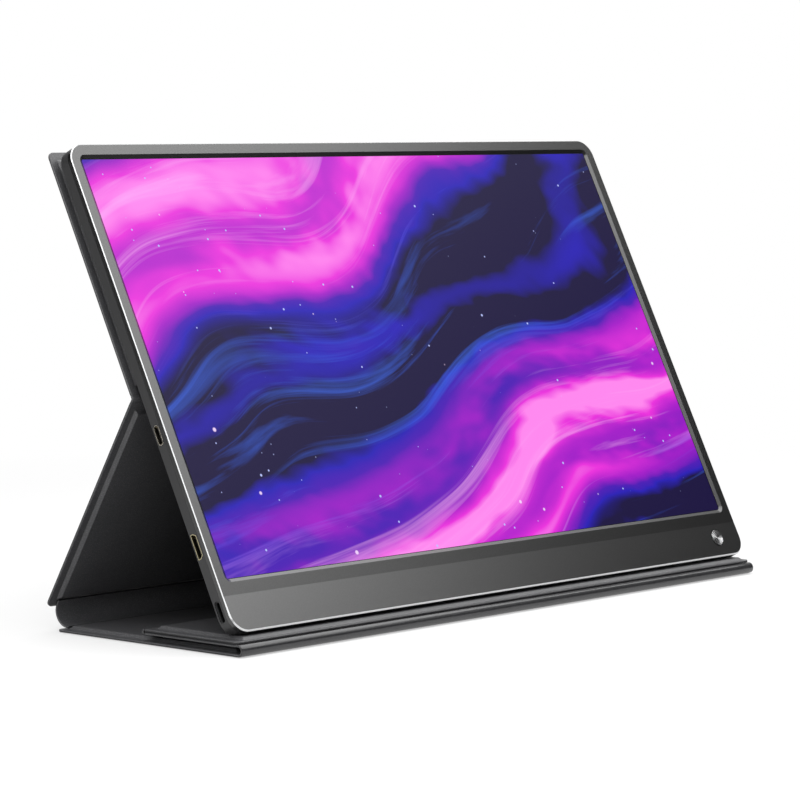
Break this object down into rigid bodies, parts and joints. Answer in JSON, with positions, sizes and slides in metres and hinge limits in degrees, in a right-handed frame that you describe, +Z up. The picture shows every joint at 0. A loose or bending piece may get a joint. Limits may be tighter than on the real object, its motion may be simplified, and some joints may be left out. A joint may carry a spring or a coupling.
{
  "type": "portable monitor with cover",
  "caption": "Slim portable monitor held by magnets on a charcoal leather-look folio cover that is folded into a stand, with side ports and a round power key.",
  "frame": {"origin": "middle of the base panel's underside, on the table", "axes": "+X along the width, to the right of someone who faces the screen; -Y is the side that the screen faces; +Z up"},
  "size_m": [0.359, 0.1192, 0.2106],
  "materials": {
    "dark_anodised": "dark satin anodised, bright cut rim",
    "black_foam": "matte adhesive foam",
    "display_glass": "lit display behind clear glass",
    "tray_steel": "plain sheet",
    "grey_plastic": "fine matte",
    "circuit_board": "solder mask",
    "screw_steel": "zinc plated",
    "port_steel": "drawn, plated",
    "pale_gold": "thin gold plating",
    "black_plastic": "moulded",
    "amber_film": "flexible film",
    "spun_aluminium": "spun face",
    "nickel_plate": "nickel plated",
    "charcoal_leather": "fine grain, coated",
    "charcoal_lining": "fine grain, coated",
    "grey_board": "pressed board"
  },
  "bodies": {
    "base": {"base_skin": "charcoal_leather", "base_board": "grey_board", "base_lining": "charcoal_lining", "front_fold": "charcoal_leather", "spine_strip": "charcoal_leather"},
    "leg": {"leg_skin": "charcoal_leather", "leg_board": "grey_board", "leg_lining": "charcoal_lining", "upper_fold": "charcoal_leather"},
    "back_panel": {"back_panel_skin": "charcoal_leather", "back_panel_board": "grey_board", "back_panel_lining": "charcoal_lining", "back_panel_magnets": "nickel_plate"},
    "monitor": {"front_frame": "dark_anodised", "panel_tape": "black_foam", "lcd_glass": "display_glass", "backlight_unit": "tray_steel", "back_cover": "grey_plastic", "main_board": "circuit_board", "board_screws": "screw_steel", "usb_c_shell": "port_steel", "usb_c_tongue": "black_plastic", "mini_hdmi_shell": "pale_gold", "mini_hdmi_tongue": "black_plastic", "flex_connector": "black_plastic", "panel_flex": "amber_film", "left_speaker": "black_plastic", "right_speaker": "black_plastic", "key_switch": "black_plastic", "key_board": "circuit_board", "housing_magnets": "nickel_plate"},
    "power_key": {"power_key": "spun_aluminium"},
    "middle_flap": {"middle_flap_skin": "charcoal_leather", "middle_flap_board": "grey_board", "middle_flap_lining": "charcoal_lining", "rear_fold": "charcoal_leather"},
    "top_flap": {"top_flap_skin": "charcoal_leather", "top_flap_board": "grey_board", "top_flap_lining": "charcoal_lining"}
  },
  "joints": [
    {"name": "leg_fold", "type": "hinge", "parent": "base", "child": "leg", "pos_m": [0, 0.06162, 0.00434], "axis": [-1, 0, 0], "range_deg": [0, 120], "deforming": ["spine_strip"]},
    {"name": "screen_fold", "type": "hinge", "parent": "leg", "child": "back_panel", "pos_m": [0, 0.00867, 0.10371], "axis": [-1, 0, 0], "range_deg": [-57, 0], "deforming": ["upper_fold"]},
    {"name": "monitor_lift", "type": "slide", "parent": "back_panel", "child": "monitor", "axis": [0, 0, 1], "range_m": [0, 0.25]},
    {"name": "front_flap", "type": "hinge", "parent": "base", "child": "middle_flap", "pos_m": [0, -0.05355, 0.00265], "axis": [1, 0, 0], "range_deg": [0, 180], "deforming": ["front_fold"]},
    {"name": "top_flap_fold", "type": "hinge", "parent": "middle_flap", "child": "top_flap", "pos_m": [0, 0.00205, 0.00535], "axis": [-1, 0, 0], "range_deg": [0, 180], "deforming": ["rear_fold"]},
    {"name": "power_key_press", "type": "slide", "parent": "monitor", "child": "power_key", "axis": [0, 0.8953, -0.4454], "range_m": [0, 0.0004], "stiffness_N_per_m": 2500}
  ],
  "couplings": [
    {"joint": "screen_fold", "follows": "leg_fold", "ratio": -0.47158},
    {"joint": "front_flap", "follows": "monitor_lift", "rad_per_m": 12.566},
    {"joint": "top_flap_fold", "follows": "monitor_lift", "rad_per_m": 12.566}
  ]
}
